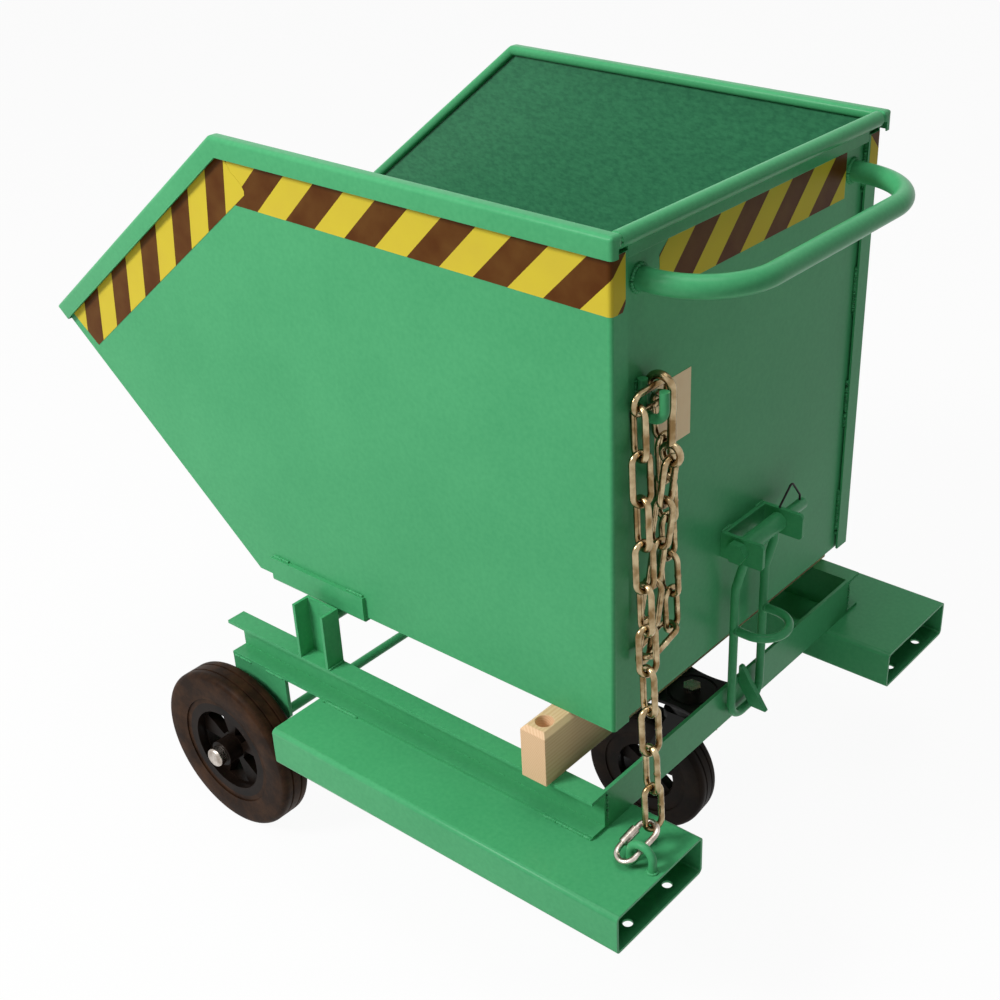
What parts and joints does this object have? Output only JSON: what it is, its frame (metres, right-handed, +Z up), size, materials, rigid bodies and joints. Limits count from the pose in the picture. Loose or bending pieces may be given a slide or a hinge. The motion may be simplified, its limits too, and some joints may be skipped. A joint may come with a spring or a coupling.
{
  "type": "tipping skip trolley",
  "caption": "Green steel tipping skip on a wheeled frame with fork pockets: sloped chute front, push handle, swinging latch, stowed chain, spoked front wheels and a rear swivel castor.",
  "frame": {"origin": "middle of the footprint on the floor", "axes": "+X towards the push handle and -X towards the chute, the chain's side at -Y, +Z up"},
  "size_m": [1.142, 0.848, 1.045],
  "materials": {
    "green_enamel": "satin",
    "yellow_zinc": "satin",
    "bright_zinc": "satin",
    "bare_steel": "satin",
    "tyre_rubber": "matt",
    "black_nylon": "matt",
    "black_enamel": "satin",
    "planed_softwood": "matt"
  },
  "bodies": {
    "frame": {"left_side_channel": "green_enamel", "right_side_channel": "green_enamel", "rear_cross_channel": "green_enamel", "castor_carrier_bar": "green_enamel", "left_fork_pocket": "green_enamel", "right_fork_pocket": "green_enamel", "left_pivot_upright": "green_enamel", "right_pivot_upright": "green_enamel", "left_wheel_bracket": "green_enamel", "right_wheel_bracket": "green_enamel", "wheel_axle": "green_enamel", "axle_washers": "bright_zinc", "axle_caps": "bright_zinc", "castor_top_plate": "black_enamel", "castor_plate_bolts": "bright_zinc", "latch_catch": "green_enamel", "chain_eye": "green_enamel", "quick_link": "bright_zinc", "quick_link_sleeve": "bright_zinc", "rest_beam": "planed_softwood", "rest_beam_bolts": "bright_zinc", "hinge_shaft": "green_enamel"},
    "skip": {"left_side_wall": "green_enamel", "right_side_wall": "green_enamel", "back_wall": "green_enamel", "floor_and_chute": "green_enamel", "left_rim_rail": "green_enamel", "right_rim_rail": "green_enamel", "rear_rim_bead": "green_enamel", "rear_rim_strip": "green_enamel", "push_handle": "green_enamel", "left_hinge_bracket": "green_enamel", "right_hinge_bracket": "green_enamel", "latch_bracket": "green_enamel", "latch_pivot_bolt": "green_enamel", "latch_clip": "black_enamel", "chain_hook": "green_enamel", "chain_links": "yellow_zinc", "chain_end_hook": "yellow_zinc"},
    "latch": {"latch_sleeve": "green_enamel", "latch_bail": "green_enamel", "latch_hand_loop": "green_enamel"},
    "hook_catch": {"end_hook_catch": "bright_zinc"},
    "left_wheel": {"left_wheel_tyre": "tyre_rubber", "left_wheel_rim": "black_nylon", "left_wheel_bush": "bare_steel"},
    "right_wheel": {"right_wheel_tyre": "tyre_rubber", "right_wheel_rim": "black_nylon", "right_wheel_bush": "bare_steel"},
    "castor_fork": {"castor_fork": "black_enamel", "castor_swivel_ring": "black_enamel", "castor_king_bolt": "bright_zinc", "castor_axle_bolt": "bright_zinc"},
    "castor_wheel": {"castor_wheel_tyre": "tyre_rubber", "castor_wheel_rim": "black_nylon", "castor_wheel_bush": "bare_steel"}
  },
  "joints": [
    {"name": "skip_tip", "type": "hinge", "parent": "frame", "child": "skip", "pos_m": [-0.044, 0, 0.3875], "axis": [0, -1, 0], "range_deg": [0, 68]},
    {"name": "latch_swing", "type": "hinge", "parent": "skip", "child": "latch", "pos_m": [0.475, 0, 0.56], "axis": [0, -1, 0], "range_deg": [0, 50]},
    {"name": "hook_catch_swing", "type": "hinge", "parent": "skip", "child": "hook_catch", "pos_m": [0.4791, -0.218, 0.84094], "axis": [0, 1, 0], "range_deg": [0, 12], "stiffness_Nm_per_rad": 0.02},
    {"name": "left_wheel_spin", "type": "hinge", "parent": "frame", "child": "left_wheel", "pos_m": [-0.202, -0.3686, 0.13], "axis": [0, 1, 0], "continuous": true},
    {"name": "right_wheel_spin", "type": "hinge", "parent": "frame", "child": "right_wheel", "pos_m": [-0.202, 0.3686, 0.13], "axis": [0, 1, 0], "continuous": true},
    {"name": "castor_swivel", "type": "hinge", "parent": "frame", "child": "castor_fork", "pos_m": [0.374, 0, 0.25], "axis": [0, 0, 1], "continuous": true},
    {"name": "castor_wheel_spin", "type": "hinge", "parent": "castor_fork", "child": "castor_wheel", "pos_m": [0.3082, -0.00518, 0.1], "axis": [-0.0785, 0.9969, 0], "continuous": true}
  ]
}
